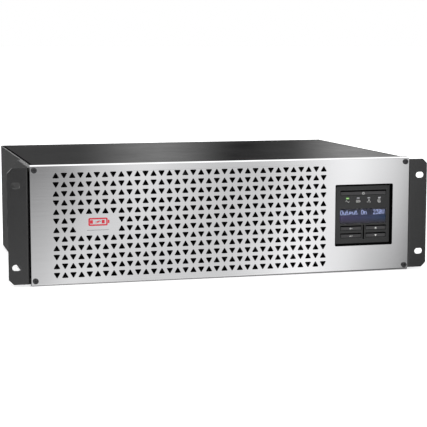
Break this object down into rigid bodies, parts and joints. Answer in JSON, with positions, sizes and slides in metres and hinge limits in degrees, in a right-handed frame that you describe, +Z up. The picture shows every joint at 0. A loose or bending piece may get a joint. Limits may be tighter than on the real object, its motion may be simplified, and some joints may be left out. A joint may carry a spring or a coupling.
{
  "type": "uninterruptible power supply",
  "caption": "Rack-mounted uninterruptible power supply, low and wide: perforated metal front with a display and keys, slotted rack ears, black sheet case, outlets and fans behind.",
  "frame": {"origin": "middle of the overall box in X and Y, on the surface the unit stands on", "axes": "+Z up, the front faces -Y, +X to the right seen from the front"},
  "size_m": [0.4826, 0.3166, 0.131],
  "materials": {
    "satin_metal": "satin",
    "black_paint": "satin textured",
    "black_screw": "satin",
    "zinc_steel": "zinc plated",
    "red_print": "matte",
    "display_plastic": "semi gloss",
    "key_plastic": "satin",
    "clear_window": "clear",
    "lcd_glass": "gloss",
    "light_pipe": "frosted",
    "switch_plastic": "matte",
    "circuit_board": "solder mask",
    "brass": "bright",
    "socket_plastic": "moulded",
    "port_shell": "plated",
    "green_plastic": "moulded",
    "fan_plastic": "moulded",
    "battery_case": "moulded",
    "core_steel": "laminated",
    "winding": "taped copper",
    "heatsink_aluminium": "extruded",
    "capacitor_sleeve": "shrink sleeve",
    "relay_plastic": "moulded",
    "choke_core": "coated"
  },
  "bodies": {
    "case": {"front_bezel": "satin_metal", "bezel_screws": "black_screw", "bezel_standoffs": "zinc_steel", "bezel_badge": "red_print", "right_rack_ear": "black_paint", "left_rack_ear": "black_paint", "ear_screws": "black_screw", "display_housing": "display_plastic", "display_screws": "zinc_steel", "display_window": "clear_window", "lcd_module": "lcd_glass", "led_lenses": "light_pipe", "tact_switches": "switch_plastic", "display_board": "circuit_board", "chassis_tray": "black_paint", "top_cover": "black_paint", "side_screws": "black_screw", "front_plate": "black_paint", "battery_door": "black_paint", "battery_door_screws": "black_screw", "rear_panel": "black_paint", "fan_screws": "black_screw", "outlet_contacts": "brass", "ac_inlet": "socket_plastic", "inlet_pins": "brass", "inlet_screws": "black_screw", "breaker_body": "socket_plastic", "usb_port": "port_shell", "serial_port": "port_shell", "network_port": "port_shell", "epo_terminal": "green_plastic", "slot_cover": "black_paint", "slot_thumbscrews": "zinc_steel", "ground_screw": "zinc_steel", "left_battery_pack": "battery_case", "right_battery_pack": "battery_case", "bay_wall": "zinc_steel", "battery_hold_down": "zinc_steel", "management_board": "circuit_board", "transformer_core": "core_steel", "transformer_winding": "winding", "main_board": "circuit_board", "board_standoffs": "zinc_steel", "front_heatsink": "heatsink_aluminium", "rear_heatsink": "heatsink_aluminium", "bus_capacitors": "capacitor_sleeve", "filter_inductor": "choke_core", "relays": "relay_plastic", "lower_outlet_bank": "socket_plastic", "upper_outlet_bank": "socket_plastic", "left_fan_frame": "fan_plastic", "right_fan_frame": "fan_plastic"},
    "breaker_button": {"breaker_button": "switch_plastic"},
    "down_key": {"down_key": "key_plastic"},
    "enter_key": {"enter_key": "key_plastic"},
    "escape_key": {"escape_key": "key_plastic"},
    "left_fan_rotor": {"left_fan_rotor": "fan_plastic"},
    "power_button": {"power_button": "key_plastic"},
    "right_fan_rotor": {"right_fan_rotor": "fan_plastic"},
    "up_key": {"up_key": "key_plastic"}
  },
  "joints": [
    {"name": "power_button_press", "type": "slide", "parent": "case", "child": "power_button", "axis": [0, 1, 0], "range_m": [0, 0.0008], "stiffness_N_per_m": 400},
    {"name": "escape_key_press", "type": "slide", "parent": "case", "child": "escape_key", "axis": [0, 1, 0], "range_m": [0, 0.0008], "stiffness_N_per_m": 400},
    {"name": "enter_key_press", "type": "slide", "parent": "case", "child": "enter_key", "axis": [0, 1, 0], "range_m": [0, 0.0008], "stiffness_N_per_m": 400},
    {"name": "up_key_press", "type": "slide", "parent": "case", "child": "up_key", "axis": [0, 1, 0], "range_m": [0, 0.0008], "stiffness_N_per_m": 400},
    {"name": "down_key_press", "type": "slide", "parent": "case", "child": "down_key", "axis": [0, 1, 0], "range_m": [0, 0.0008], "stiffness_N_per_m": 400},
    {"name": "breaker_button_pop", "type": "slide", "parent": "case", "child": "breaker_button", "axis": [0, 1, 0], "range_m": [0, 0.004]},
    {"name": "left_fan_rotor_spin", "type": "hinge", "parent": "case", "child": "left_fan_rotor", "pos_m": [-0.165, 0.1353, 0.065], "axis": [0, 1, 0], "continuous": true},
    {"name": "right_fan_rotor_spin", "type": "hinge", "parent": "case", "child": "right_fan_rotor", "pos_m": [-0.079, 0.1353, 0.065], "axis": [0, 1, 0], "continuous": true}
  ]
}
